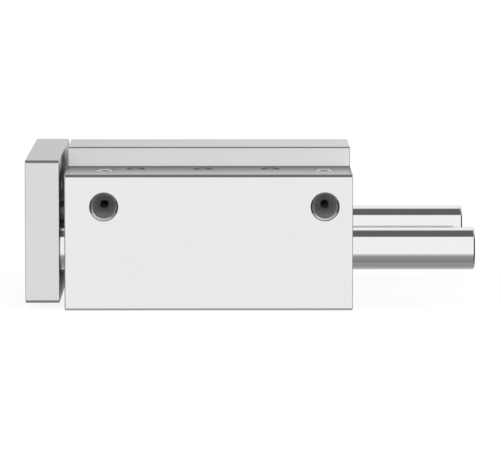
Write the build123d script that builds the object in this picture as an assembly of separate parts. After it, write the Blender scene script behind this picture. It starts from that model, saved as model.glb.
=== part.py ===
from build123d import *
import math
import os

# Guided pneumatic cylinder, lengths in millimetres.
# X runs along the stroke with the yoke at -X, Y across with the ports at -Y, and Z up.
# The origin is the middle of the housing's bottom face, and the piston is fully retracted.

# Stroke and its end gaps
stroke = 50.0
end_gap = 0.2
yoke_gap = 2.1

# How far a cutter reaches past the face that it opens
overrun = 1.0

# Fits, all radial
running_gap = 0.04
seal_gap = 0.03
seat_gap = 0.02

# Housing extrusion
body_width = 116.0
shoulder_height = 51.4
rib_height = 7.3
rib_width = 37.8
top_corner_chamfer = 1.0
base_corner_chamfer = 0.8
rib_chamfer = 0.45
face_chamfer = 0.2

# Cylinder bore and the rings that hold its caps
bore_radius = 20.0
bore_ring_setback = 1.5
bore_ring_thickness = 1.75
bore_ring_depth = 1.25
bore_ring_section = 3.2
bore_lug_radius = 3.0
bore_lug_spread = 4.3
bore_lug_hole = 1.25
ring_axial_gap = 0.1
lug_inset = 0.25
lead_in = 0.5

# Caps of the cylinder bore
front_flange = 9.5
front_nose = 5.5
rear_flange = 5.15
rear_nose = 5.45
nose_radius = 15.0
rear_pocket_radius = 12.0
rear_pocket_depth = 1.2
cap_seal_section = 1.8
cap_seal_width = 2.4

# Ports and the ducts behind them
port_height = 39.25
port_radius = 4.865
port_depth = 8.5
port_mouth_radius = 5.5
duct_radius = 1.75
duct_margin = 0.25
drill_half_angle = 59.0

# Plugs in the drillings that meet the ducts from the shoulder, each in a shallow spot face
plug_inset = 20.5
plug_drilling_radius = 1.4
plug_radius = 2.5
plug_length = 5.0
plug_recess = 0.1
plug_mouth = 0.2
plug_chamfer = 0.3
plug_spot_radius = 4.2
plug_spot_depth = 0.2
plug_socket_flats = 2.5
plug_socket_depth = 2.4

# Mounting holes: a thread inside a wider recess for a centring sleeve, in rows inward of the guide rods
top_row_offset = 12.4
base_row_offset = 15.4
hole_start = 26.4
hole_pitch = 25.7
holes_per_row = 3
thread_radius = 3.0
thread_mouth = 0.3
top_thread_depth = 14.0
base_thread_depth = 9.0
centring_radius = 4.5
centring_depth = 2.1
centring_mouth = 0.25

# Sensor slots in the underside
slot_offset = 12.0
slot_radius = 2.0
slot_neck_width = 2.9
slot_lip = 1.3

# Guide rods
guide_radius = 8.0
guide_inset = 14.6
guide_height = 22.0
guide_tail_inset = 3.55
guide_end_chamfer = 0.5
guide_centre_radius = 1.25
guide_centre_mouth = 2.6
guide_centre_depth = 5.0

# Guide bores, with a ring, a wiper and a ball bush at each end
bush_radius = 12.0
bush_length = 30.0
relief_radius = 9.5
guide_ring_setback = 1.2
guide_ring_thickness = 1.2
guide_ring_depth = 0.6
guide_ring_section = 2.0
guide_lug_radius = 1.7
guide_lug_spread = 2.5
guide_lug_hole = 0.75
wiper_length = 3.0

# Ball bushes
ball_radius = 1.45
ball_gap = 0.05
ball_rows = 5
balls_per_row = 6
ball_spacing = 0.3
sleeve_lip = 0.8
cage_gap = 0.35
cage_side_gap = 0.15
track_depth = 0.9
track_offset = 3.6

# Piston rod, its bush and its seal
rod_radius = 8.0
rod_spigot_radius = 5.0
rod_bush_wall = 1.0
rod_bush_length = 7.5
rod_seal_radius = 12.0
rod_seal_length = 5.4
lip_width = 1.1

# Piston
piston_side_gap = 0.5
piston_land = 1.6
piston_groove_radius = 15.5
piston_seal_width = 4.0
magnet_width = 4.0
wear_ring_width = 4.0
wear_ring_radius = 17.5
pad_inner_radius = 12.0
pad_recess = 0.8
pad_proud = 1.0
nut_flats = 16.0
nut_thickness = 5.0
nut_pocket_radius = 10.0
nut_pocket_depth = 6.0

# Yoke
yoke_thickness = 12.95
yoke_side_inset = 5.65
yoke_bottom = 2.2
yoke_top = 56.3
yoke_chamfer = 0.95
yoke_seat_depth = 3.0
yoke_thread_span = 52.0
yoke_thread_rise = 32.0

# Flat head screws that hold the three rods to the yoke
screw_radius = 4.0
screw_head_radius = 8.0
screw_head_recess = 0.3
screw_grip = 16.0
screw_hole_spare = 2.0
screw_socket_flats = 5.0
screw_socket_depth = 2.6

# Worked out from the sizes above
guide_spacing = body_width - 2 * guide_inset
yoke_width = body_width - 2 * yoke_side_inset
top_row = guide_spacing / 2 - top_row_offset
base_row = guide_spacing / 2 - base_row_offset
bore_ring_groove = bore_ring_thickness + ring_axial_gap
guide_ring_groove = guide_ring_thickness + ring_axial_gap
cap_inset = bore_ring_setback + bore_ring_groove
wiper_inset = guide_ring_setback + guide_ring_groove
bush_inset = wiper_inset + wiper_length
guide_bore_depth = bush_inset + bush_length
groove_widths = [piston_seal_width, magnet_width, wear_ring_width, piston_seal_width]
piston_length = sum(groove_widths) + piston_land * (len(groove_widths) + 1)
chamber_length = stroke + piston_length + 2 * (pad_proud + end_gap)
body_length = 2 * cap_inset + front_flange + front_nose + chamber_length + rear_nose + rear_flange
body_front = -body_length / 2
body_rear = body_length / 2
body_height = shoulder_height + rib_height
bore_height = body_height / 2
front_cap_x = body_front + cap_inset
front_nose_x = front_cap_x + front_flange + front_nose
rear_cap_x = body_rear - cap_inset
rear_nose_x = rear_cap_x - rear_flange - rear_nose
port_insets = {
    "front": cap_inset + front_flange + duct_margin + duct_radius,
    "rear": cap_inset + rear_flange + duct_margin + duct_radius,
}
port_x = {"front": body_front + port_insets["front"], "rear": body_rear - port_insets["rear"]}
piston_rear_x = rear_nose_x - end_gap - pad_proud
piston_front_x = piston_rear_x - piston_length
yoke_back_x = body_front - yoke_gap
yoke_front_x = yoke_back_x - yoke_thickness
rod_seat_x = yoke_back_x - yoke_seat_depth
guide_end_x = body_rear - guide_tail_inset + stroke
sleeve_inner_radius = guide_radius + 2 * (ball_radius + ball_gap)
ball_pitch_radius = guide_radius + ball_gap + ball_radius
row_length = balls_per_row * (2 * ball_radius + ball_spacing)
hole_x = [body_front + hole_start + i * hole_pitch for i in range(holes_per_row)]
plug_y = plug_inset - body_width / 2
sides = {"near": -1, "far": 1}
ends = {"front": -1, "rear": 1}
outward_minus_y = Rot(0, 0, -90)
outward_up = Rot(0, -90, 0)
outward_down = Rot(0, 90, 0)
outward_minus_x = Rot(0, 0, 180)


# A turned solid about the X axis, from (x, radius) points.
def turned(points):
    return revolve(make_face(Polyline(points, close=True)), Axis.X)


# A turned solid from pieces that share one axis, placed at that axis.
def on_axis(y, z, points):
    return Pos(0, y, z) * turned(points)


# A plain ring or disc between two places along the axis.
def ring(x_start, x_end, inner, outer):
    return turned([(x_start, inner), (x_end, inner), (x_end, outer), (x_start, outer)])


# A drilled blind hole with a countersunk mouth and a drill point, mouth at X=0 and depth towards -X.
def blind_hole(radius, depth, mouth_radius):
    point = radius / math.tan(math.radians(drill_half_angle))
    mouth = mouth_radius - radius
    points = [
        (overrun, 0),
        (overrun, mouth_radius),
        (0, mouth_radius),
        (-mouth, radius),
        (-depth, radius),
        (-depth - point, 0),
    ]
    return turned(points)


# A regular hexagon prism along X, from its distance across flats.
def hexagon(x_start, x_end, flats):
    outline = Plane.YZ.offset(x_start) * RegularPolygon(flats / 2, 6, major_radius=False)
    return extrude(outline, x_end - x_start)


# An internal retaining ring with two drilled lugs, open at the bottom between them.
def retaining_ring(x_start, thickness, outer, section, lug, lug_spread, lug_hole):
    lug_z = -math.sqrt((outer - lug - lug_inset) ** 2 - lug_spread**2)
    outline = Circle(outer) - Circle(outer - section)
    outline -= Pos(0, -outer) * Rectangle(2 * lug_spread - lug, outer)
    for sign in (-1, 1):
        outline += Pos(sign * lug_spread, lug_z) * Circle(lug)
        outline -= Pos(sign * lug_spread, lug_z) * Circle(lug_hole)
    return extrude(Plane.YZ.offset(x_start) * outline, thickness)


# The cylinder bore with its ring grooves and tapered mouths.
def cylinder_bore():
    groove = bore_radius + bore_ring_depth
    half = [
        (0, bore_radius),
        (body_rear - cap_inset, bore_radius),
        (body_rear - cap_inset, groove),
        (body_rear - bore_ring_setback, groove),
        (body_rear - bore_ring_setback, bore_radius),
        (body_rear - lead_in, bore_radius),
        (body_rear, bore_radius + lead_in),
        (body_rear + overrun, bore_radius + lead_in),
    ]
    return on_axis(0, bore_height, mirrored_outline(half))


# One guide bore, wider at both ends where the ball bushes sit.
def guide_bore(y):
    groove = bush_radius + guide_ring_depth
    half = [
        (0, relief_radius),
        (body_rear - guide_bore_depth, relief_radius),
        (body_rear - guide_bore_depth, bush_radius),
        (body_rear - wiper_inset, bush_radius),
        (body_rear - wiper_inset, groove),
        (body_rear - guide_ring_setback, groove),
        (body_rear - guide_ring_setback, bush_radius),
        (body_rear - lead_in, bush_radius),
        (body_rear, bush_radius + lead_in),
        (body_rear + overrun, bush_radius + lead_in),
    ]
    return on_axis(y, guide_height, mirrored_outline(half))


# Closes a half outline of a bore onto its mirror image and the axis.
def mirrored_outline(half):
    rear = half[1:] + [(half[-1][0], 0)]
    return [(-x, r) for x, r in reversed(rear)] + rear


# The extrusion's cross-section: two shoulders and a raised rib between them.
def housing_profile():
    outline = Pos(0, shoulder_height / 2) * Rectangle(body_width, shoulder_height)
    outline = chamfer(outline.vertices().group_by(Axis.Y)[-1], top_corner_chamfer)
    outline = chamfer(outline.vertices().group_by(Axis.Y)[0], base_corner_chamfer)
    outline += Pos(0, body_height / 2) * Rectangle(rib_width, body_height)
    return chamfer(outline.vertices().group_by(Axis.Y)[-1], rib_chamfer)


# A round sensor slot along the whole underside, with a narrow neck.
def slot_cutter(y):
    outline = Pos(y, slot_lip + slot_radius) * Circle(slot_radius)
    outline += Pos(y, slot_lip / 2) * Rectangle(slot_neck_width, slot_lip + slot_radius)
    return Pos(body_front - overrun, 0, 0) * extrude(Plane.YZ * outline, body_length + 2 * overrun)


# One port: the threaded hole and the duct from its bottom to the cylinder bore.
def port_cutter(x):
    face_y = -body_width / 2
    hole = blind_hole(port_radius, port_depth, port_mouth_radius)
    duct = ring(face_y, -port_depth, 0, duct_radius)
    return Pos(x, face_y, port_height) * outward_minus_y * (hole + duct)


# One plugged drilling from the near shoulder down to the duct.
def plug_cutter(x):
    seat = plug_spot_depth + plug_recess + plug_length
    hole = turned(
        [
            (overrun, 0),
            (overrun, plug_spot_radius),
            (-plug_spot_depth, plug_spot_radius),
            (-plug_spot_depth, plug_radius + plug_mouth),
            (-plug_spot_depth - plug_mouth, plug_radius),
            (-seat, plug_radius),
            (-seat, 0),
        ]
    )
    drilling = ring(port_height - shoulder_height, -seat, 0, plug_drilling_radius)
    return Pos(x, plug_y, shoulder_height) * outward_up * (hole + drilling)


# A threaded hole in the floor of a centring recess, mouth at X=0 and depth towards -X.
def mounting_hole(depth):
    point = thread_radius / math.tan(math.radians(drill_half_angle))
    points = [
        (overrun, 0),
        (overrun, centring_radius + centring_mouth),
        (0, centring_radius + centring_mouth),
        (-centring_mouth, centring_radius),
        (-centring_depth, centring_radius),
        (-centring_depth, thread_radius + thread_mouth),
        (-centring_depth - thread_mouth, thread_radius),
        (-depth, thread_radius),
        (-depth - point, 0),
    ]
    return turned(points)


# A row of mounting holes on each side of the rib, above and below.
def mounting_holes():
    holes = []
    for side in sides.values():
        for x in hole_x:
            top = Pos(x, side * top_row, shoulder_height) * outward_up
            base = Pos(x, side * base_row, 0) * outward_down
            holes.append(top * mounting_hole(top_thread_depth))
            holes.append(base * mounting_hole(base_thread_depth))
    return holes


def housing():
    body = Pos(body_front, 0, 0) * extrude(Plane.YZ * housing_profile(), body_length)
    end_faces = [body.faces().sort_by(Axis.X)[0], body.faces().sort_by(Axis.X)[-1]]
    body = chamfer([edge for face in end_faces for edge in face.edges()], face_chamfer)
    cutters = [cylinder_bore()]
    cutters += [guide_bore(side * guide_spacing / 2) for side in sides.values()]
    cutters += [slot_cutter(side * slot_offset) for side in sides.values()]
    cutters += [port_cutter(x) for x in port_x.values()]
    cutters += [plug_cutter(x) for x in port_x.values()]
    cutters += mounting_holes()
    for cutter in cutters:
        body -= cutter
    return body


def duct_plugs():
    top = shoulder_height - plug_spot_depth - plug_recess
    rim = plug_radius - seat_gap
    points = [(-plug_length, 0), (-plug_length, rim), (-plug_chamfer, rim), (0, rim - plug_chamfer), (0, 0)]
    plug = turned(points) - hexagon(-plug_socket_depth, overrun, plug_socket_flats)
    return Compound([Pos(x, plug_y, top) * outward_up * plug for x in port_x.values()])


# The bearing cap: a sealed flange, a nose that leaves room for the air, and pockets for bush and seal.
def front_cap():
    flange_end = front_cap_x + front_flange
    outer = bore_radius - seat_gap
    groove_start = flange_end - 2 * cap_seal_width
    seal_pocket = front_cap_x + rod_seal_length + ring_axial_gap
    points = [
        (front_cap_x, rod_seal_radius + seat_gap),
        (front_cap_x, outer),
        *cap_groove(groove_start, outer),
        (flange_end, outer),
        (flange_end, nose_radius),
        (front_nose_x - lead_in, nose_radius),
        (front_nose_x, nose_radius - lead_in),
        (front_nose_x, rod_radius + rod_bush_wall + seat_gap),
        (seal_pocket, rod_radius + rod_bush_wall + seat_gap),
        (seal_pocket, rod_seal_radius + seat_gap),
    ]
    return on_axis(0, bore_height, points)


# The four points of a seal groove cut into a cap's rim.
def cap_groove(x, outer):
    floor = cap_groove_floor()
    return [(x, outer), (x, floor), (x + cap_seal_width, floor), (x + cap_seal_width, outer)]


def cap_groove_floor():
    return bore_radius - cap_seal_section


def rear_cap():
    outer = bore_radius - seat_gap
    flange_start = rear_cap_x - rear_flange
    pocket_x = rear_cap_x - rear_pocket_depth
    points = [
        (rear_nose_x, 0),
        (rear_nose_x, nose_radius - lead_in),
        (rear_nose_x + lead_in, nose_radius),
        (flange_start, nose_radius),
        (flange_start, outer),
        *cap_groove(flange_start + (rear_flange - cap_seal_width) / 2, outer),
        (rear_cap_x, outer),
        (rear_cap_x, rear_pocket_radius),
        (pocket_x, rear_pocket_radius - rear_pocket_depth),
        (pocket_x, 0),
    ]
    return on_axis(0, bore_height, points)


# A round seal ring that fills its groove to within the seat gap.
def cap_seal(x):
    section = cap_seal_section / 2 - seat_gap
    centre = bore_radius - cap_seal_section / 2
    profile = Pos(x + cap_seal_width / 2, centre) * Circle(section)
    return Pos(0, 0, bore_height) * revolve(profile, Axis.X)


def bore_ring(x):
    outer = bore_radius + bore_ring_depth - seat_gap
    lug = (bore_lug_radius, bore_lug_spread, bore_lug_hole)
    return Pos(0, 0, bore_height) * retaining_ring(x, bore_ring_thickness, outer, bore_ring_section, *lug)


def rod_bush():
    start = front_nose_x - lead_in - rod_bush_length
    inner = rod_radius + running_gap
    return Pos(0, 0, bore_height) * ring(start, start + rod_bush_length, inner, rod_radius + rod_bush_wall)


# The rod's lip seal: a ring with a wiping lip outside and a sealing lip inside.
def rod_seal():
    start = front_cap_x
    end = front_cap_x + rod_seal_length
    inner = rod_radius + running_gap
    back = inner + lip_width
    points = [
        (start, rod_seal_radius),
        (end, rod_seal_radius),
        (end, rod_seal_radius - lip_width),
        (end - 2 * lip_width, rod_seal_radius - 1.5 * lip_width),
        (end - 2 * lip_width, back),
        (end, back),
        (end, inner),
        (end - lip_width, inner),
        (start + lip_width, back - 0.5 * lip_width),
        (start, inner),
        (start - lip_width, inner),
        (start, back),
    ]
    return on_axis(0, bore_height, points)


# The drawn sleeve of a ball bush, turned in at both ends.
def bush_sleeve(x):
    outer = bush_radius - seat_gap
    lip_radius = guide_radius + 2 * cage_gap
    end = x + bush_length
    points = [
        (x, lip_radius),
        (x, outer - lead_in),
        (x + lead_in, outer),
        (end - lead_in, outer),
        (end, outer - lead_in),
        (end, lip_radius),
        (end - sleeve_lip, lip_radius),
        (end - sleeve_lip, sleeve_inner_radius),
        (x + sleeve_lip, sleeve_inner_radius),
        (x + sleeve_lip, lip_radius),
    ]
    return turned(points)


# The plastic cage: a slot for each loaded row of balls and a return track beside it.
def bush_cage(x):
    start = x + sleeve_lip + cage_gap
    end = x + bush_length - sleeve_lip - cage_gap
    outer = sleeve_inner_radius - cage_side_gap
    cage = ring(start, end, guide_radius + cage_gap, outer)
    middle = (start + end) / 2
    slot_width = 2 * (ball_radius + cage_side_gap)
    slot_length = row_length + 2 * cage_side_gap
    slot = extrude(Plane.XY.offset(guide_radius) * SlotOverall(slot_length, slot_width), outer)
    loop = SlotOverall(slot_length, slot_width + track_offset)
    loop -= SlotOverall(slot_length - 2 * slot_width, track_offset - slot_width)
    track = extrude(Plane.XY.offset(outer - track_depth) * Pos(0, track_offset / 2) * loop, outer)
    for i in range(ball_rows):
        cage -= Rot(360 * i / ball_rows, 0, 0) * Pos(middle, 0, 0) * (slot + track)
    return cage


def bush_balls(x):
    first = x + (bush_length - row_length) / 2 + ball_radius + ball_spacing / 2
    pitch = 2 * ball_radius + ball_spacing
    balls = []
    for row in range(ball_rows):
        for i in range(balls_per_row):
            ball = Pos(first + i * pitch, 0, ball_pitch_radius) * Sphere(ball_radius)
            balls.append(Rot(360 * row / ball_rows, 0, 0) * ball)
    return balls


# The wiper outside a ball bush, with one lip that leans outwards.
def guide_wiper(x):
    end = x + wiper_length
    inner = guide_radius + running_gap
    points = [
        (x, bush_radius - seat_gap),
        (end, bush_radius - seat_gap),
        (end, inner + lip_width),
        (end - lip_width, inner),
        (end - 2 * lip_width, inner + lip_width),
        (x, inner + lip_width),
    ]
    return turned(points)


def guide_ring(x):
    outer = bush_radius + guide_ring_depth - seat_gap
    lug = (guide_lug_radius, guide_lug_spread, guide_lug_hole)
    return retaining_ring(x, guide_ring_thickness, outer, guide_ring_section, *lug)


# The ring, wiper and ball bush at one end of a guide bore, given for the front end.
def guide_set(side, end):
    place = Pos(0, side * guide_spacing / 2, guide_height)
    if end > 0:
        place = place * Rot(0, 0, 180)
    bush_x = body_front + bush_inset
    return {
        "ring": place * guide_ring(body_front + guide_ring_setback),
        "wiper": place * guide_wiper(body_front + wiper_inset),
        "bush_sleeve": place * bush_sleeve(bush_x),
        "bush_cage": place * bush_cage(bush_x),
        "bush_balls": Compound([place * ball for ball in bush_balls(bush_x)]),
    }


# The threaded hole in a rod's front end that takes its flat head screw.
def screw_hole():
    hole = blind_hole(screw_radius + seat_gap, screw_grip + screw_hole_spare, screw_radius + lead_in)
    return Pos(rod_seat_x, 0, 0) * outward_minus_x * hole


# A ground rod with a drilled centre in its free end.
def guide_rod():
    cone = guide_end_x - (guide_centre_mouth - guide_centre_radius) * math.sqrt(3)
    point = guide_centre_radius / math.tan(math.radians(drill_half_angle))
    points = [
        (rod_seat_x, 0),
        (rod_seat_x, guide_radius - guide_end_chamfer),
        (rod_seat_x + guide_end_chamfer, guide_radius),
        (guide_end_x - guide_end_chamfer, guide_radius),
        (guide_end_x, guide_radius - guide_end_chamfer),
        (guide_end_x, guide_centre_mouth),
        (cone, guide_centre_radius),
        (guide_end_x - guide_centre_depth, guide_centre_radius),
        (guide_end_x - guide_centre_depth - point, 0),
    ]
    return turned(points) - screw_hole()


def piston_rod():
    spigot_end = piston_rear_x - lead_in
    points = [
        (rod_seat_x, 0),
        (rod_seat_x, rod_radius - guide_end_chamfer),
        (rod_seat_x + guide_end_chamfer, rod_radius),
        (piston_front_x, rod_radius),
        (piston_front_x, rod_spigot_radius),
        (spigot_end - lead_in, rod_spigot_radius),
        (spigot_end, rod_spigot_radius - lead_in),
        (spigot_end, 0),
    ]
    return Pos(0, 0, bore_height) * (turned(points) - screw_hole())


# Where each groove of the piston starts, from front to rear.
def groove_starts():
    starts = []
    x = piston_front_x + piston_land
    for width in groove_widths:
        starts.append(x)
        x += width + piston_land
    return starts


def piston():
    outer = bore_radius - piston_side_gap
    pad_outer = nose_radius + seat_gap
    pad_inner = pad_inner_radius - seat_gap
    body = ring(piston_front_x, piston_rear_x, rod_spigot_radius + seat_gap, outer)
    floors = [piston_groove_radius, piston_groove_radius, wear_ring_radius, piston_groove_radius]
    for x, width, floor in zip(groove_starts(), groove_widths, floors):
        body -= ring(x, x + width, floor, bore_radius)
    body -= ring(piston_front_x - overrun, piston_front_x + pad_recess, pad_inner, pad_outer)
    body -= ring(piston_rear_x - pad_recess, piston_rear_x + overrun, pad_inner, pad_outer)
    body -= ring(piston_rear_x - nut_pocket_depth, piston_rear_x + overrun, 0, nut_pocket_radius)
    return Pos(0, 0, bore_height) * body


# A lip seal in a piston groove, its open side towards the pressure.
def piston_seal(x, facing):
    outer = bore_radius - seal_gap
    floor = piston_groove_radius + seat_gap
    width = piston_seal_width - 2 * ring_axial_gap
    middle = (outer + floor) / 2
    points = [
        (0, floor),
        (0, outer - lip_width / 2),
        (width - lip_width, outer),
        (width, outer - lip_width / 2),
        (width / 2, middle),
        (width, floor + lip_width / 2),
        (width - lip_width, floor),
    ]
    centre = x + piston_seal_width / 2
    turn = Rot(0, 0, 0 if facing > 0 else 180)
    return Pos(centre, 0, bore_height) * turn * Pos(-width / 2, 0, 0) * turned(points)


def magnet_ring():
    x = groove_starts()[1] + ring_axial_gap
    outer = bore_radius - piston_side_gap - seat_gap
    end = x + magnet_width - 2 * ring_axial_gap
    return Pos(0, 0, bore_height) * ring(x, end, piston_groove_radius + seat_gap, outer)


def wear_ring():
    x = groove_starts()[2] + ring_axial_gap
    outer = bore_radius - running_gap
    end = x + wear_ring_width - 2 * ring_axial_gap
    return Pos(0, 0, bore_height) * ring(x, end, wear_ring_radius + seat_gap, outer)


def cushion_pad(x_start):
    end = x_start + pad_recess + pad_proud
    return Pos(0, 0, bore_height) * ring(x_start, end, pad_inner_radius, nose_radius)


def piston_nut():
    end = piston_rear_x - nut_pocket_depth + nut_thickness
    nut = hexagon(end - nut_thickness, end, nut_flats)
    nut &= turned(
        [
            (end - nut_thickness, 0),
            (end - nut_thickness, nut_flats),
            (end - 2 * lead_in, nut_flats / math.sqrt(3)),
            (end, nut_flats / 2),
            (end, 0),
        ]
    )
    nut -= ring(end - nut_thickness - overrun, end + overrun, 0, rod_spigot_radius + seat_gap)
    return Pos(0, 0, bore_height) * nut


# Where the three rods stand, as (y, z).
def rod_places():
    return [(-guide_spacing / 2, guide_height), (0, bore_height), (guide_spacing / 2, guide_height)]


# The countersunk hole of a flat head screw through the yoke and the seat of its rod.
def rod_seat_cutter(radius):
    cone = screw_head_radius - screw_radius
    head_x = yoke_front_x + screw_head_recess
    points = [
        (yoke_front_x - overrun, 0),
        (yoke_front_x - overrun, screw_head_radius + seat_gap),
        (head_x, screw_head_radius + seat_gap),
        (head_x + cone, screw_radius + seat_gap),
        (rod_seat_x, screw_radius + seat_gap),
        (rod_seat_x, radius + seat_gap),
        (yoke_back_x + overrun, radius + seat_gap),
        (yoke_back_x + overrun, 0),
    ]
    return turned(points)


def yoke():
    centre_z = (yoke_bottom + yoke_top) / 2
    centre_x = (yoke_front_x + yoke_back_x) / 2
    plate = Pos(centre_x, 0, centre_z) * Box(yoke_thickness, yoke_width, yoke_top - yoke_bottom)
    plate = chamfer(plate.edges().filter_by(Axis.X), yoke_chamfer)
    big_faces = [plate.faces().sort_by(Axis.X)[0], plate.faces().sort_by(Axis.X)[-1]]
    plate = chamfer([edge for face in big_faces for edge in face.edges()], face_chamfer)
    for (y, z), radius in zip(rod_places(), (guide_radius, rod_radius, guide_radius)):
        plate -= Pos(0, y, z) * rod_seat_cutter(radius)
    thread = outward_minus_x * mounting_hole(yoke_thickness + overrun)
    for y in (-yoke_thread_span / 2, yoke_thread_span / 2):
        for z in (centre_z - yoke_thread_rise / 2, centre_z + yoke_thread_rise / 2):
            plate -= Pos(yoke_front_x, y, z) * thread
    return plate


def rod_screws():
    head_x = yoke_front_x + screw_head_recess
    cone = screw_head_radius - screw_radius
    end = rod_seat_x + screw_grip
    points = [
        (head_x, 0),
        (head_x, screw_head_radius),
        (head_x + cone, screw_radius),
        (end - lead_in, screw_radius),
        (end, screw_radius - lead_in),
        (end, 0),
    ]
    screw = turned(points) - hexagon(head_x - overrun, head_x + screw_socket_depth, screw_socket_flats)
    return Compound([Pos(0, y, z) * screw for y, z in rod_places()])


def all_nodes():
    front_groove_x = front_cap_x + front_flange - 2 * cap_seal_width
    rear_groove_x = rear_cap_x - rear_flange + (rear_flange - cap_seal_width) / 2
    seal_x = groove_starts()
    nodes = {
        "housing": housing(),
        "duct_plugs": duct_plugs(),
        "front_cap": front_cap(),
        "front_cap_seal": cap_seal(front_groove_x),
        "front_cap_ring": bore_ring(body_front + bore_ring_setback),
        "rod_bush": rod_bush(),
        "rod_seal": rod_seal(),
        "rear_cap": rear_cap(),
        "rear_cap_seal": cap_seal(rear_groove_x),
        "rear_cap_ring": bore_ring(body_rear - bore_ring_setback - bore_ring_thickness),
        "yoke": yoke(),
        "rod_screws": rod_screws(),
        "piston_rod": piston_rod(),
        "piston": piston(),
        "piston_nut": piston_nut(),
        "front_piston_seal": piston_seal(seal_x[0], -1),
        "rear_piston_seal": piston_seal(seal_x[3], 1),
        "magnet_ring": magnet_ring(),
        "wear_ring": wear_ring(),
        "front_pad": cushion_pad(piston_front_x - pad_proud),
        "rear_pad": cushion_pad(piston_rear_x - pad_recess),
    }
    for side_name, side in sides.items():
        nodes[side_name + "_guide_rod"] = Pos(0, side * guide_spacing / 2, guide_height) * guide_rod()
        for end_name, end in ends.items():
            for piece, solid in guide_set(side, end).items():
                nodes[side_name + "_" + end_name + "_" + piece] = solid
    return nodes


os.makedirs("parts", exist_ok=True)
for name, solid in all_nodes().items():
    solid.label = name
    export_step(solid, "parts/" + name + ".step")
    print(name, round(solid.volume, 1))
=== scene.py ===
import bpy
import math
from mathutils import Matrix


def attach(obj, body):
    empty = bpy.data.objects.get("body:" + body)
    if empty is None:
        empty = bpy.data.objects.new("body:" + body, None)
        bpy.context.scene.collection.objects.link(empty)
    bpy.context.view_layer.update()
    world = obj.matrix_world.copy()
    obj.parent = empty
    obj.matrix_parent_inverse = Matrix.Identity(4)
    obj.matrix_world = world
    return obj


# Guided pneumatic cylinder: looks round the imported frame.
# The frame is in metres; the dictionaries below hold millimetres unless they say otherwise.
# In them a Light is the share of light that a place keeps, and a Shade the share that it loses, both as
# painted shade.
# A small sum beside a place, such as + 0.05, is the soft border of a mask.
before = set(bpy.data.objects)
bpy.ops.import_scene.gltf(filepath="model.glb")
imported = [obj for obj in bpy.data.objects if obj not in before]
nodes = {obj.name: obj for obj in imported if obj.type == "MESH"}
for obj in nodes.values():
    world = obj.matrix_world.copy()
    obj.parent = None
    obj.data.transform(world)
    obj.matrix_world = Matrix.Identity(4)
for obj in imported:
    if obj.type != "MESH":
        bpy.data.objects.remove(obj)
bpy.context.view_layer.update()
mm = 0.001
print("frame loaded,", len(nodes), "nodes")


# A socket that takes part in sums, so shader maths reads as plain expressions.
class Wire:
    def __init__(self, graph, socket):
        self.graph = graph
        self.socket = socket

    def sum(self, operation, *values):
        return self.graph.node("Math", {"operation": operation}, dict(enumerate(values)))

    def __add__(self, other):
        return self.sum("ADD", self, other)

    def __radd__(self, other):
        return self.sum("ADD", other, self)

    def __sub__(self, other):
        return self.sum("SUBTRACT", self, other)

    def __rsub__(self, other):
        return self.sum("SUBTRACT", other, self)

    def __mul__(self, other):
        return self.sum("MULTIPLY", self, other)

    def __rmul__(self, other):
        return self.sum("MULTIPLY", other, self)

    def __truediv__(self, other):
        return self.sum("DIVIDE", self, other)

    def __rtruediv__(self, other):
        return self.sum("DIVIDE", other, self)

    def __pow__(self, other):
        return self.sum("POWER", self, other)

    def __abs__(self):
        return self.sum("ABSOLUTE", self)


# A node tree with one method for every node: its kind, settings and sockets, and which output to hand back.
class Graph:
    def __init__(self, tree):
        self.tree = tree

    def node(self, kind, settings=None, sockets=None, output=0):
        made = self.tree.nodes.new("ShaderNode" + kind)
        for name, value in (settings or {}).items():
            if name == "stops":
                ramp = made.color_ramp.elements
                while len(ramp) < len(value):
                    ramp.new(1.0)
                for stop, (place, shade) in zip(ramp, value):
                    stop.position = place
                    stop.color = (shade, shade, shade, 1)
            else:
                setattr(made, name, value)
        for name, value in (sockets or {}).items():
            self.feed(made.inputs[name], value)
        return Wire(self, made.outputs[output])

    def feed(self, socket, value):
        if isinstance(value, Wire):
            self.tree.links.new(value.socket, socket)
        else:
            socket.default_value = value

    def smooth(self, value, low, high):
        return self.node("MapRange", {"interpolation_type": "SMOOTHSTEP"}, {0: value, 1: low, 2: high})

    def ramp(self, value, low, high, first, last):
        return self.node("MapRange", None, {0: value, 1: low, 2: high, 3: first, 4: last})

    # One near the middle, fading out over the last three tenths of the reach.
    def within(self, value, middle, reach):
        return self.smooth(abs(value - middle), reach, reach * 0.7)

    def largest(self, first, *others):
        for other in others:
            first = self.node("Math", {"operation": "MAXIMUM"}, {0: first, 1: other})
        return first

    def length(self, *parts):
        total = parts[0] * parts[0]
        for part in parts[1:]:
            total = total + part * part
        return total ** 0.5

    def vector(self, x, y, z):
        return self.node("CombineXYZ", None, {0: x, 1: y, 2: z})

    def noise(self, vector, detail):
        sockets = {"Vector": vector, "Scale": 1.0, "Detail": detail, "Roughness": 0.5}
        return self.node("TexNoise", None, sockets)

    def mixColour(self, share, first, second):
        return self.node("Mix", {"data_type": "RGBA"}, {0: share, 6: first, 7: second}, 2)


def grey(level):
    return (level, level, level, 1)


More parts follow.
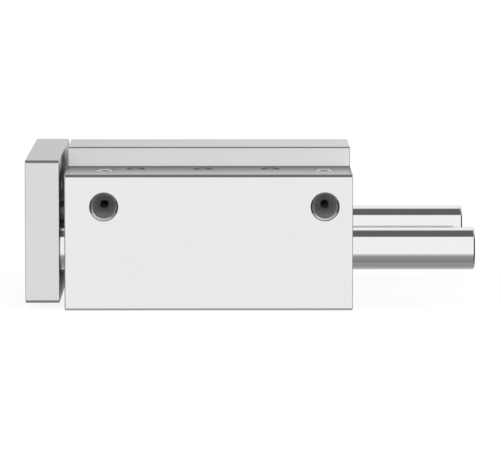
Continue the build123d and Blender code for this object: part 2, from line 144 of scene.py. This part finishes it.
# One finish: a Principled shader with the place on the piece in millimetres to draw from.
class Finish(Graph):
    def __init__(self, name, colour, metallic, roughness):
        self.material = bpy.data.materials.new(name)
        self.material.use_nodes = True
        super().__init__(self.material.node_tree)
        self.shader = self.tree.nodes["Principled BSDF"]
        self.base = (*colour, 1)
        self.set("Base Color", self.base)
        self.set("Metallic", metallic)
        self.set("Roughness", roughness)
        place = self.tree.nodes.new("ShaderNodeTexCoord")
        self.x, self.y, self.z = (axis * 1000 for axis in self.parts(place.outputs["Object"]))
        self.normalX, self.normalY, self.normalZ = self.parts(place.outputs["Normal"])

    def parts(self, socket):
        split = self.tree.nodes.new("ShaderNodeSeparateXYZ")
        self.tree.links.new(socket, split.inputs[0])
        return [Wire(self, out) for out in split.outputs]

    def set(self, socket, value):
        self.feed(self.shader.inputs[socket], value)

    def shade(self, factor):
        self.set("Base Color", self.mixColour(factor, grey(0), self.base))

    # Paints shade: lets plain black through by the given share, as shade that bare metal doesn't give back.
    def dim(self, share):
        black = self.node(
            "BsdfPrincipled", None, {"Base Color": grey(0), "Roughness": 1.0, "Specular IOR Level": 0.0},
        )
        both = self.node("MixShader", None, {0: share, 1: Wire(self, self.shader.outputs[0]), 2: black})
        self.tree.links.new(both.socket, self.tree.nodes["Material Output"].inputs[0])

    def bump(self, height, depth):
        self.set("Normal", self.node("Bump", None, {"Strength": 1.0, "Distance": depth, "Height": height}))

    # Noise with its own number of waves to the millimetre along each of X, Y and Z.
    def streaks(self, scales, detail):
        places = (self.x, self.y, self.z)
        return self.noise(self.vector(*(place * scale for place, scale in zip(places, scales))), detail)

    # Noise that is the same in every direction.
    def speckle(self, scale, detail):
        return self.streaks((scale, scale, scale), detail)

    # One where the surface faces along an axis, by that part of its normal.
    def facing(self, normal, low=0.8, high=0.95):
        return self.smooth(normal, low, high)

    # One where it leans at least halfway towards the axis.
    def leaning(self, normal):
        return self.smooth(normal, 0.5, 0.6)

    # One on a 45 degree chamfer, with side -1 for one that looks down the axis.
    def chamfer(self, normal, side=1, reach=0.1):
        return self.within(normal, side * 0.71, reach)

    def wear(self, *names):
        for name in names:
            nodes[name].data.materials.clear()
            nodes[name].data.materials.append(self.material)


# Distance from an axis that runs along Y, X or Z through a point given by the other two.
def fromAxis(finish, along, first, second):
    a, b = {"x": (finish.y, finish.z), "y": (finish.x, finish.z), "z": (finish.x, finish.y)}[along]
    return finish.length(a - first, b - second)


# The side of a round mouth that gets a painted highlight: its foot, and more of the side that lean points to.
def litSide(finish, x, z, lean, out):
    towards = ((x - finish.x) * lean + (z - finish.z) * 0.95) / out
    return finish.smooth(towards, 0.4, 0.75) * finish.ramp(finish.x, x - 2, x + 3, 1.0, 0.5)


# The names of a piece that each of the four guide bushes has.
def atEachBush(*pieces):
    bushes = [side + "_" + end for side in ("near", "far") for end in ("front", "rear")]
    return [bush + "_" + piece for bush in bushes for piece in pieces]


# Each port's place in X and Z, and how far the side with its painted highlight leans, towards the yoke if
# positive.
portPlaces = [(-39.5, 39.25, 0.33), (43.85, 39.25, -0.1)]

housingFinish = {
    # The last value here is a painted highlight on the lower chamfers, the ends' top chamfers and the recess
    # walls.
    "colour": (1.0, 0.998, 1.0), "tone": 0.842, "roughness": 0.24, "paintedHighlight": 0.187,
    # Waves to the millimetre of its patterns, and the middle of the cutter's arcs in Y and Z.
    "drawn": (0.012, 2.4, 2.4), "cloud": 0.05, "grain": 9, "milled": 2.6, "drift": 0.03,
    "arcMiddle": (210, -60),
    # The extrusion: half its length, half its width, the heights of shoulder and rib, half the rib's width.
    "bodyEnd": 54.35, "edge": 58.0, "shoulder": 51.4, "ribTop": 58.7, "ribFoot": 18.9,
    # Painted shade on the milled ends, on their side chamfers, and on the side faces just beside the yoke.
    "endLight": 0.8, "sideEndShade": 0.75, "frontEdge": 0.5, "frontEdgeShade": 0.3,
    # Painted shade on the shoulder from the rib's foot out to its edge, darkest at the foot, with a strip of
    # painted light right at the foot; the plugs are left out.
    "footLight": 0.17, "edgeLight": 0.83, "footPaintedLight": 0.31, "footLightWidth": 1.8,
    "plugRow": -37.5, "plugSeat": 3.6,
    # The rib's sides, and the painted shade at their foot and top, darker towards the top.
    "wallRoughness": 0.4, "wallLean": 0.12, "wallRise": 6.8, "wallPaintedShade": (0.008, -0.112),
    # Painted light: how much paler each gets from its middle to the rods' end, and darker to the yoke's end.
    # The rib's top has the upward share as well.
    "upwardPaintedLight": 0.05, "ribTopPaintedLight": 0.04, "ribWallPaintedLight": 0.033,
    # The recesses of the mounting holes, with painted shade on their ends and a painted highlight on their
    # walls.
    "holeRow": 31.0, "holeMiddle": -2.25, "holeReach": 45, "recessRadius": 5.2,
    "recessMiddle": 50.3, "recessReach": 1.6, "recessShade": 0.6,
    # The ports, with painted shade inside them, lightest at their foot, and a painted highlight on the lit
    # side of their rims.
    "ports": portPlaces, "portRadius": 4.865, "portMouth": 5.5, "portRim": 5.05, "portDepth": (-17, -18),
    "rimShade": 0.45, "portFootLight": 0.9, "portLight": 0.5, "portFloor": 2.2, "portTopGain": 0.16,
    "portRoughness": 0.6, "ductRadius": 1.75, "litDepth": (-57.1, -57.3),
}


# Masks for the ports: their inside, the painted shade on their walls and rims, the painted highlight on their
# rims, and the matt places that carry that highlight and the duct floors' painted highlight.
def portMasks(skin, values):
    mouth = values["portMouth"]
    radius = values["portRadius"]
    rimFrom = values["portRim"]
    duct = values["ductRadius"]
    level = values["ports"][0][1]
    floor = level - values["portFloor"]
    # The share of light the port walls keep, as painted shade, is largest at the port's foot and raised again
    # towards its top.
    kept = skin.ramp(skin.z, level - mouth, floor, values["portFootLight"], values["portLight"])
    kept = kept + skin.ramp(skin.z, level, level + mouth, 0.0, values["portTopGain"])
    ports, losses, rims, ducts = [], [], [], []
    for x, z, lean in values["ports"]:
        out = fromAxis(skin, "y", x, z)
        inside = skin.smooth(out, mouth + 0.1, mouth) * skin.smooth(skin.y, *values["portDepth"])
        inside = inside * skin.smooth(skin.y, -values["edge"] + 0.01, -values["edge"] + 0.05)
        rim = skin.smooth(out, rimFrom, rimFrom + 0.12)
        upright = abs(skin.z - z) / out
        loss = 1 - (1 - rim * upright * values["rimShade"]) * kept
        litRim = inside * (1 - rim) * skin.smooth(out, radius - 0.05, radius - 0.02)
        ports.append(inside)
        losses.append(inside * skin.smooth(out, duct + 0.05, duct + 0.1) * loss)
        rims.append(litRim * litSide(skin, x, z, lean, out))
        # The duct's upward floor is made matt as a painted highlight.
        ducts.append(inside * skin.smooth(out, duct + 0.05, duct) * skin.facing(skin.normalZ, 0.6, 0.8))
    lit = skin.largest(*rims) * skin.smooth(skin.y, *values["litDepth"])
    return skin.largest(*ports), skin.largest(*losses), lit, skin.largest(lit, *ducts)


# The drawn skin of the extrusion with milled ends, with painted shade in its holes, ports and gaps and along
# the rib, and painted highlights on its edges and port rims.
def dressHousing(values):
    skin = Finish("satinExtrusion", values["colour"], 1.0, values["roughness"])
    ends = skin.facing(abs(skin.normalX), 0.75, 0.9)
    upward = skin.facing(skin.normalZ)
    sideways = skin.facing(abs(skin.normalY))
    level = values["shoulder"]
    foot = values["ribFoot"]
    bodyEnd = values["bodyEnd"]

    drawn = skin.streaks(values["drawn"], 3.0)
    cloud = skin.speckle(values["cloud"], 2.0)
    grain = skin.speckle(values["grain"], 1.0)
    arc = skin.length(skin.y - values["arcMiddle"][0], skin.z - values["arcMiddle"][1])
    sweep = skin.vector(arc * values["milled"], skin.y * values["drift"], skin.z * values["drift"])
    milled = skin.noise(sweep, 2.0)
    lines = drawn + (milled - drawn) * ends

    plugs = skin.largest(*(
        skin.smooth(fromAxis(skin, "z", x, values["plugRow"]), values["plugSeat"] + 0.2, values["plugSeat"])
        for x, z, lean in values["ports"]
    ))
    # Painted shade on the shoulder, darkest at the rib's foot, with a strip of painted light right at the
    # foot.
    shoulder = upward * skin.within(skin.z, level, 0.3) * (1 - plugs)
    slope = skin.ramp(abs(skin.y), foot, values["edge"], values["footLight"], values["edgeLight"])
    slope = slope + skin.ramp(abs(skin.y), foot, foot + values["footLightWidth"], values["footPaintedLight"], 0.0)
    # Painted shade on the rib's sides, darker towards their top.
    ribWall = skin.smooth(skin.z, level - 0.02, level + 0.02) * sideways
    wallPaintedShade = skin.ramp(skin.z, level, level + values["wallRise"], *values["wallPaintedShade"])
    ribTop = upward * skin.within(skin.z, values["ribTop"], 0.3)

    # Painted highlights on the lower chamfers and the ends' top chamfers; painted shade on the ends' side
    # chamfers and on the side faces beside the yoke.
    lowEdge = skin.chamfer(skin.normalZ, -1)
    endEdge = skin.chamfer(abs(skin.normalX))
    topEnd = endEdge * skin.leaning(skin.normalZ)
    sideEnd = endEdge * skin.leaning(abs(skin.normalY))
    frontEdge = skin.smooth(skin.x, values["frontEdge"] - bodyEnd, values["frontEdge"] - bodyEnd - 0.1)
    frontEdge = frontEdge * sideways * (1 - ribWall)

    # Painted shade on the recesses' ends and a painted highlight on their walls.
    recess = skin.within(skin.z, values["recessMiddle"], values["recessReach"])
    recess = recess * skin.within(abs(skin.y), values["holeRow"], values["recessRadius"])
    recess = recess * skin.within(skin.x, values["holeMiddle"], values["holeReach"]) * (1 - upward)
    recessEnds = recess * skin.facing(abs(skin.normalX), 0.35, 0.7)
    recessWall = recess - recessEnds
    port, portLoss, lit, matt = portMasks(skin, values)

    # All painted shade, let through as black.
    light = (1 - shoulder * (1 - slope)) * (1 - ends * (1 - values["endLight"]))
    light = light * (1 - recessEnds * values["recessShade"]) * (1 - sideEnd * values["sideEndShade"])
    light = light * (1 - frontEdge * values["frontEdgeShade"])
    light = light * (1 - portLoss * (1 - lit))
    skin.dim(1 - light)

    # Painted light, paler towards the rods' end and darker towards the yoke's.
    paler = upward * values["upwardPaintedLight"] + ribTop * values["ribTopPaintedLight"] + ribWall * values["ribWallPaintedLight"]
    lengthPaintedLight = paler * skin.ramp(skin.x, -bodyEnd, bodyEnd, -1.0, 1.0)
    edgeHighlight = skin.largest(lowEdge, recessWall, topEnd) * values["paintedHighlight"]
    pattern = 0.975 + lines * 0.03 + cloud * 0.02
    skin.shade(pattern * (1 + edgeHighlight) * (1 + ribWall * wallPaintedShade) * (1 + lengthPaintedLight) * values["tone"])
    # Matt where the painted highlights of port rims and duct floors are, so they read lighter.
    skin.set("Metallic", 1 - matt)

    satin = values["roughness"] - 0.03 + lines * 0.03 + grain * 0.03
    portRough = port * (values["portRoughness"] - values["roughness"])
    wallRough = ribWall * (values["wallRoughness"] - values["roughness"])
    skin.set("Roughness", satin + (portRough + wallRough))
    lean = ribWall * (level - skin.z) * values["wallLean"]
    skin.bump(lines * 0.0084 + grain * 0.0036 + lean * 10, 0.0001)  # lean is in millimetres, ten depths each
    skin.wear("housing")


dressHousing(housingFinish)

yokeFinish = {
    "colour": (0.952, 0.952, 0.952), "tone": 0.75, "roughness": 0.25,
    "rolled": (2.2, 0.02, 2.2), "grain": 9, "milled": 2.2, "drift": 0.03, "arcMiddle": (-260, -40),
    # Painted shade on the two big faces, which fades out between these heights, and on the edges, with a
    # painted highlight on the top edges.
    "faceLight": 0.8, "faceTop": (55.8, 54.0),
    "topEdgeHighlight": 0.22, "footEdgeShade": 0.17, "sideEdgeShade": 0.4,
    # A band of painted shade on the side faces just above the lower edge.
    "footEdge": 3.15, "footRim": 0.2, "footRimShade": 0.3,
}


def dressYoke(values):
    skin = Finish("satinPlate", values["colour"], 1.0, values["roughness"])
    rolled = skin.streaks(values["rolled"], 3.0)
    arc = skin.length(skin.y - values["arcMiddle"][0], skin.z - values["arcMiddle"][1])
    sweep = skin.vector(arc * values["milled"], skin.y * values["drift"], skin.z * values["drift"])
    milled = skin.noise(sweep, 2.0)
    faces = skin.facing(abs(skin.normalX), 0.75, 0.9)
    grain = skin.speckle(values["grain"], 1.0)
    lines = rolled + (milled - rolled) * faces
    top = skin.chamfer(skin.normalZ)
    foot = skin.chamfer(skin.normalZ, -1)
    side = skin.chamfer(abs(skin.normalX)) * skin.leaning(abs(skin.normalY))
    pattern = 0.975 + lines * 0.035 + grain * 0.015
    # Rolled and milled marks, with a painted highlight on the top chamfers.
    skin.shade(pattern * (1 + top * values["topEdgeHighlight"]) * values["tone"])
    # Painted shade on the big faces below their top, on the edges and on a band above the lower edge.
    rimTop = values["footEdge"] + values["footRim"]
    footRim = skin.smooth(skin.z, rimTop + 0.05, rimTop)
    footRim = footRim * skin.facing(abs(skin.normalY)) * values["footRimShade"]
    edges = skin.largest(foot * values["footEdgeShade"], side * values["sideEdgeShade"], footRim)
    faceShade = faces * (1 - values["faceLight"]) * skin.smooth(skin.z, *values["faceTop"])
    skin.dim(skin.largest(faceShade, edges))
    skin.set("Roughness", values["roughness"] - 0.03 + lines * 0.03 + grain * 0.03)
    skin.bump(lines * 0.7 + grain * 0.3, 0.0000012)
    skin.wear("yoke")


dressYoke(yokeFinish)

rodFinish = {
    "colour": (0.87, 0.87, 0.87), "roughness": 0.07,
    # Each rod's axis in Y and Z.
    "rods": {"near_guide_rod": (-43.4, 22.0), "far_guide_rod": (43.4, 22.0), "piston_rod": (0.0, 29.35)},
    # Painted shade on the rods' first bit behind the yoke, and on their end chamfers at mid height only.
    "yokeBack": -56.45, "footShade": 0.55, "footLength": 0.7,
    "rimShade": 1.0, "rimFade": (4.0, 7.0, 1.0, 0.15),
    # How far a rod's shading leans, and the height above its middle where that starts.
    "leans": {"far_guide_rod": 0.036}, "leanFrom": 2.0,
}


def dressRods(values):
    for name, (y, z) in values["rods"].items():
        skin = Finish("groundChrome_" + name, values["colour"], 1.0, values["roughness"])
        out = fromAxis(skin, "x", y, z)
        faces = skin.facing(abs(skin.normalX))
        ground = skin.streaks((6, 0.25, 0.25), 3.0)
        turned = skin.noise(skin.vector(out * 5, 0.0, 0.0), 2.0)
        marks = ground + (turned - ground) * faces
        cloud = skin.streaks((0.04, 0.1, 0.1), 2.0)
        skin.shade(0.98 + marks * 0.02 + cloud * 0.01 - faces * 0.2)
        skin.set("Roughness", values["roughness"] - 0.02 + marks * 0.04 + cloud * 0.02 + faces * 0.2)
        # Painted shade just behind the yoke and on the end chamfers around mid height.
        foot = skin.smooth(skin.x, values["yokeBack"] + values["footLength"], values["yokeBack"])
        rim = skin.chamfer(abs(skin.normalX), reach=0.12) * values["rimShade"]
        rim = rim * skin.ramp(abs(skin.z - z), *values["rimFade"])
        skin.dim(skin.largest(foot * values["footShade"], rim))
        above = skin.largest(skin.z - (z + values["leanFrom"]), 0.0)
        skin.bump(marks * 0.0004 - above * values["leans"].get(name, 0.0), 0.001)
        skin.wear(name)


dressRods(rodFinish)

turnedFinish = {"colour": (0.6, 0.605, 0.61), "roughness": 0.34, "boreHeight": 29.35}


def dressTurned(values):
    skin = Finish("turnedAluminium", values["colour"], 1.0, values["roughness"])
    out = fromAxis(skin, "x", 0.0, values["boreHeight"])
    faces = skin.facing(abs(skin.normalX), 0.6, 0.8)
    around = skin.noise(skin.vector(skin.x * 4, 0.0, 0.0), 2.0)
    lathe = skin.noise(skin.vector(out * 4, 0.0, 0.0), 2.0)
    lines = around + (lathe - around) * faces
    grain = skin.speckle(5, 1.0)
    skin.shade(0.93 + lines * 0.1 + grain * 0.04)
    skin.set("Roughness", values["roughness"] - 0.06 + lines * 0.12)
    skin.bump(lines, 0.000002)
    skin.wear("front_cap", "rear_cap", "piston")


dressTurned(turnedFinish)

capRings = ["front_cap_ring", "rear_cap_ring"]
# Each steel's colour, roughness, how much the roughness varies, and the pieces that wear it.
steelFinishes = {
    "screwZinc": ((0.45, 0.45, 0.46), 0.3, 0.06, ["rod_screws", "piston_nut"]),
    "plugSteel": ((0.9, 0.885, 0.87), 0.16, 0.04, ["duct_plugs"]),
    "springSteel": ((0.07, 0.07, 0.075), 0.42, 0.12, [*capRings, *atEachBush("ring")]),
    "bearingSteel": ((0.55, 0.55, 0.56), 0.16, 0.04, atEachBush("bush_sleeve", "bush_balls")),
}


def dressSteel(values):
    for name, (colour, roughness, spread, pieces) in values.items():
        skin = Finish(name, colour, 1.0, roughness)
        speckle = skin.speckle(7, 3.0)
        patch = skin.speckle(0.5, 2.0)
        skin.shade(0.85 + speckle * 0.2 + patch * 0.1)
        skin.set("Roughness", roughness - spread + speckle * spread + patch * spread)
        skin.bump(speckle, 0.000002)
        skin.wear(*pieces)


dressSteel(steelFinishes)

seals = ["front_cap_seal", "rear_cap_seal", "rod_seal", "front_piston_seal", "rear_piston_seal"]
# Each moulding's colour, roughness, and the pieces that wear it.
mouldedFinishes = {
    "blackSeal": ((0.012, 0.012, 0.013), 0.42, [*seals, *atEachBush("wiper")]),
    "cushionRubber": ((0.12, 0.045, 0.014), 0.5, ["front_pad", "rear_pad"]),
    "cagePlastic": ((0.02, 0.02, 0.022), 0.36, atEachBush("bush_cage")),
    "wearPlastic": ((0.02, 0.1, 0.07), 0.45, ["wear_ring"]),
    "magnetDark": ((0.02, 0.02, 0.022), 0.4, ["magnet_ring"]),
}


def dressMoulded(values):
    for name, (colour, roughness, pieces) in values.items():
        skin = Finish(name, colour, 0.0, roughness)
        grain = skin.speckle(6, 3.0)
        flow = skin.speckle(0.6, 2.0)
        skin.shade(0.8 + grain * 0.2 + flow * 0.2)
        skin.set("Roughness", roughness - 0.06 + grain * 0.08 + flow * 0.06)
        skin.bump(grain, 0.000004)
        skin.wear(*pieces)


dressMoulded(mouldedFinishes)

bronzeFinish = {"colour": (0.45, 0.25, 0.1), "roughness": 0.4}


def dressBronze(values):
    skin = Finish("sinteredBronze", values["colour"], 1.0, values["roughness"])
    pores = skin.smooth(skin.speckle(12, 2.0), 0.42, 0.34)
    cloud = skin.speckle(0.8, 2.0)
    skin.shade((0.88 + cloud * 0.2) * (1 - pores * 0.6))
    skin.set("Roughness", values["roughness"] + pores * 0.3)
    skin.bump(1 - pores, 0.00001)
    skin.wear("rod_bush")


dressBronze(bronzeFinish)
print("finishes on", len(nodes), "frame nodes")

# Radii of each thread's root and crest, and how many steps make a turn.
threadSizes = {
    "port": {"pitch": 0.907, "root": 4.875, "crest": 4.3, "length": 7.7, "steps": 48},
    "screw": {"pitch": 1.0, "root": 3.01, "crest": 2.46, "length": 11.4, "steps": 32},
    "shortScrew": {"pitch": 1.0, "root": 3.01, "crest": 2.46, "length": 6.5, "steps": 32},
    "yokeScrew": {"pitch": 1.0, "root": 3.01, "crest": 2.46, "length": 10.0, "steps": 32},
}


# One helical ridge round +Z, from a plane cut down to the tooth's four-sided section.
def cutThread(name, size):
    pitch = size["pitch"] * mm
    root = size["root"] * mm
    crest = size["crest"] * mm
    middle = (root + crest) / 2
    turns = int(size["length"] / size["pitch"]) - 1
    bpy.ops.object.select_all(action="DESELECT")
    bpy.ops.mesh.primitive_plane_add(size=1, rotation=(math.pi / 2, 0, 0))
    ridge = bpy.context.object
    ridge.name = name
    bpy.ops.object.transform_apply(location=False, rotation=True, scale=False)
    bpy.ops.object.mode_set(mode="EDIT")
    bpy.ops.mesh.select_all(action="SELECT")
    bpy.ops.transform.resize(value=(root - crest, 1, pitch * 0.86))  # the foot takes 86% of the pitch
    bpy.ops.transform.translate(value=(middle, 0, pitch * 0.5))
    bpy.ops.mesh.select_all(action="DESELECT")
    bpy.ops.object.mode_set(mode="OBJECT")
    for vertex in ridge.data.vertices:
        vertex.select = vertex.co.x < middle
    bpy.ops.object.mode_set(mode="EDIT")
    bpy.ops.mesh.select_mode(type="VERT")
    bpy.ops.transform.resize(value=(1, 1, 0.2))  # and the crest a fifth of that
    bpy.ops.mesh.select_all(action="SELECT")
    bpy.ops.mesh.delete(type="ONLY_FACE")
    bpy.ops.object.mode_set(mode="OBJECT")
    coil = ridge.modifiers.new("coil", "SCREW")
    coil.axis = "Z"
    coil.angle = 2 * math.pi
    coil.screw_offset = pitch
    coil.iterations = turns
    coil.steps = coil.render_steps = size["steps"]
    bpy.ops.object.modifier_apply(modifier=coil.name)
    bpy.ops.object.mode_set(mode="EDIT")
    bpy.ops.mesh.select_all(action="SELECT")
    bpy.ops.mesh.fill_holes(sides=4)
    bpy.ops.mesh.select_all(action="SELECT")
    bpy.ops.mesh.normals_make_consistent(inside=False)
    bpy.ops.object.mode_set(mode="OBJECT")
    bpy.ops.object.shade_smooth_by_angle(angle=math.radians(25))
    return ridge


# A copy of a thread with its own mesh, turned and moved into its hole.
def placeThread(pattern, name, turn, place, finish, body, slot):
    bpy.ops.object.select_all(action="DESELECT")
    pattern.select_set(True)
    bpy.context.view_layer.objects.active = pattern
    bpy.ops.object.duplicate(linked=False)
    copy = bpy.context.object
    copy.name = name
    copy.rotation_euler = turn
    copy.location = [value * mm for value in place]
    bpy.ops.object.transform_apply(location=True, rotation=True, scale=True)
    copy.data.materials.clear()
    copy.data.materials.append(finish.material)
    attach(copy, body)


threadPlaces = {
    "ports": portPlaces, "portMouth": -57.33,
    "holes": [-27.95, -2.25, 23.45], "topRow": 31.0, "baseRow": 28.0, "shoulder": 51.4, "step": 2.45,
    "yokeFront": -69.4, "yokeSpan": 26.0, "yokeRise": 16.0, "yokeMiddle": 29.25,
    # Where a port's first ridge gets a painted highlight: from and to which radius, and how deep.
    "litFrom": (4.5, 4.65), "litTo": (5.2, 5.1), "litDepth": (-56.4, -56.6), "litColour": 0.9,
}


# The finish of a cut thread. Given the ports, their first ridge gets a painted highlight on the same side as
# their rims.
def threadFinish(name, tone, roughness, lit=None):
    skin = Finish(name, (tone, tone, tone), 1.0, roughness)
    cut = skin.speckle(4, 2.0)
    if lit:
        ridges = []
        for x, z, lean in lit["ports"]:
            out = fromAxis(skin, "y", x, z)
            ridge = litSide(skin, x, z, lean, out) * skin.smooth(out, *lit["litFrom"])
            ridges.append(ridge * skin.smooth(out, *lit["litTo"]))
        ridge = skin.largest(*ridges) * skin.smooth(skin.y, *lit["litDepth"])
        skin.set("Base Color", skin.mixColour(ridge, skin.base, grey(lit["litColour"])))
        skin.set("Metallic", 1 - ridge)
    else:
        skin.shade(0.85 + cut * 0.25)
    skin.set("Roughness", roughness - 0.05 + cut * 0.1)
    skin.bump(cut, 0.000002)
    return skin


def fitThreads(sizes, values):
    # The port threads are darker than the others, as painted shade inside the ports.
    inPort = threadFinish("cutThreadPort", 0.25, 0.5, values)
    inHousing = threadFinish("cutThreadHousing", 0.42, 0.35)
    inYoke = threadFinish("cutThreadYoke", 0.42, 0.35)
    housing = ("cylinder_body", "housing_aluminium")
    yoke = ("carriage", "yoke_aluminium")

    port = cutThread("portThread", sizes["port"])
    inward = (-math.pi / 2, 0, 0)
    for end, (x, z, lean) in zip(("front", "rear"), values["ports"]):
        placeThread(port, "port_thread_" + end, inward, (x, values["portMouth"], z), inPort, *housing)

    top = cutThread("topThread", sizes["screw"])
    base = cutThread("baseThread", sizes["shortScrew"])
    down = (math.pi, 0, 0)
    up = (0, 0, 0)
    for number, x in enumerate(values["holes"], 1):
        for side, sign in (("near", -1), ("far", 1)):
            topPlace = (x, sign * values["topRow"], values["shoulder"] - values["step"])
            basePlace = (x, sign * values["baseRow"], values["step"])
            placeThread(top, f"top_thread_{side}_{number}", down, topPlace, inHousing, *housing)
            placeThread(base, f"base_thread_{side}_{number}", up, basePlace, inHousing, *housing)

    plate = cutThread("yokeThread", sizes["yokeScrew"])
    back = (0, math.pi / 2, 0)
    for side, y in (("near", -values["yokeSpan"]), ("far", values["yokeSpan"])):
        for level, z in (("low", -values["yokeRise"]), ("high", values["yokeRise"])):
            place = (values["yokeFront"] + values["step"], y, values["yokeMiddle"] + z)
            placeThread(plate, f"yoke_thread_{side}_{level}", back, place, inYoke, *yoke)

    for pattern in (port, top, base, plate):
        bpy.data.objects.remove(pattern)


fitThreads(threadSizes, threadPlaces)
print("threads cut in ports, housing and yoke")

# What shiny metal sees round it: the brightness at each angle in degrees, from the camera's side over the top
# and back underneath, and at the two sides past a share of the way along X.
studio = {
    "round": [
        (0, 1.0), (70.3, 1.0), (73.3, 0.125), (117, 0.125), (129, 0.9), (140, 1.0),
        (156, 1.0), (169, 0.62), (190, 0.58), (200, 0.6), (212, 0.55), (232, 0.44),
        (244, 0.345), (255, 0.288), (264, 0.316), (272, 0.33), (287, 0.25), (294, 0.248),
        (307, 0.29), (321, 0.34), (328, 0.52), (332.5, 0.75), (338, 1.0), (360, 1.0),
    ],
    "sides": 0.6, "sideFrom": 0.84, "sideTo": 0.93, "plain": 0.9,
}


# Soft panels for metal to show, one plain level for everything matt, and white behind it all.
def hangWorld(values):
    world = bpy.data.worlds.new("softPanels")
    world.use_nodes = True
    bpy.context.scene.world = world
    graph = Graph(world.node_tree)
    world.node_tree.nodes.clear()
    split = world.node_tree.nodes.new("ShaderNodeSeparateXYZ")
    place = world.node_tree.nodes.new("ShaderNodeTexCoord")
    world.node_tree.links.new(place.outputs["Generated"], split.inputs[0])
    x, y, z = (Wire(graph, out) for out in split.outputs)
    turn = graph.node("Math", {"operation": "ARCTAN2"}, {0: z, 1: 0 - y}) * (180 / math.pi)
    share = graph.node("Math", {"operation": "FRACT"}, {0: (turn + 360) / 360})
    stops = [(angle / 360, shade) for angle, shade in values["round"]]
    panels = graph.node("ValToRGB", {"stops": stops}, {0: share})
    side = graph.smooth(abs(x), values["sideFrom"], values["sideTo"])
    panels = graph.mixColour(side, panels, grey(values["sides"]))
    ray = world.node_tree.nodes.new("ShaderNodeLightPath")
    glossy, camera, through = (
        Wire(graph, ray.outputs[f"Is {kind} Ray"]) for kind in ("Glossy", "Camera", "Transmission")
    )
    light = graph.mixColour(glossy, grey(values["plain"]), panels)
    colour = graph.mixColour(graph.largest(camera, through), light, grey(1))
    background = graph.node("Background", None, {"Color": colour, "Strength": 1.0})
    output = world.node_tree.nodes.new("ShaderNodeOutputWorld")
    world.node_tree.links.new(background.socket, output.inputs[0])


hangWorld(studio)

# In metres, a fifth of a millimetre under the housing. The part is lit by paint, and the camera sees the
# glow with a little shownPaint.
floorSize = {"width": 8.0, "depth": 9.0, "level": -0.0002, "paint": 0.8, "glow": 0.88, "shownPaint": 0.16}


# A pale floor that renders white and keeps a soft contact shadow. Metal shows the panels in its place.
def layFloor(values):
    bpy.ops.object.select_all(action="DESELECT")
    bpy.ops.mesh.primitive_plane_add(size=1, location=(0, 0, values["level"]))
    floor = bpy.context.object
    floor.name = "floor"
    bpy.ops.object.mode_set(mode="EDIT")
    bpy.ops.transform.resize(value=(values["width"], values["depth"], 1))
    bpy.ops.mesh.subdivide(number_cuts=3)
    bpy.ops.object.mode_set(mode="OBJECT")
    floor.visible_glossy = False
    floor.visible_transmission = False
    skin = bpy.data.materials.new("paleFloor")
    skin.use_nodes = True
    graph = Graph(skin.node_tree)
    skin.node_tree.nodes.clear()
    matt = graph.node("BsdfDiffuse", None, {"Color": grey(values["paint"]), "Roughness": 1.0})
    faint = graph.node("BsdfDiffuse", None, {"Color": grey(values["shownPaint"]), "Roughness": 1.0})
    glow = graph.node("Emission", None, {"Color": grey(1), "Strength": values["glow"]})
    white = graph.node("AddShader", None, {0: faint, 1: glow})
    camera = graph.node("LightPath", None, None, "Is Camera Ray")
    shown = graph.node("MixShader", None, {0: camera, 1: matt, 2: white})
    output = skin.node_tree.nodes.new("ShaderNodeOutputMaterial")
    skin.node_tree.links.new(shown.socket, output.inputs[0])
    floor.data.materials.append(skin)


layFloor(floorSize)

# The photograph's camera, with turn and down in degrees, and nearest and farthest in metres.
photoCamera = {
    "place": (6.46432, -1635.07696, 190.52486), "turn": 0.33073, "down": 5.72515,
    "lens": 303.08, "sensor": 36.0, "nearest": 0.05, "farthest": 60,
}


def aimCamera(values):
    bpy.ops.object.camera_add(location=[value * mm for value in values["place"]])
    camera = bpy.context.object
    camera.rotation_euler = (math.radians(90 - values["down"]), 0, math.radians(-values["turn"]))
    camera.data.lens = values["lens"]
    camera.data.sensor_width = values["sensor"]
    camera.data.clip_start = values["nearest"]
    camera.data.clip_end = values["farthest"]
    bpy.context.scene.camera = camera


aimCamera(photoCamera)
bpy.context.scene.view_settings.view_transform = "Standard"
print("studio, floor and camera set")
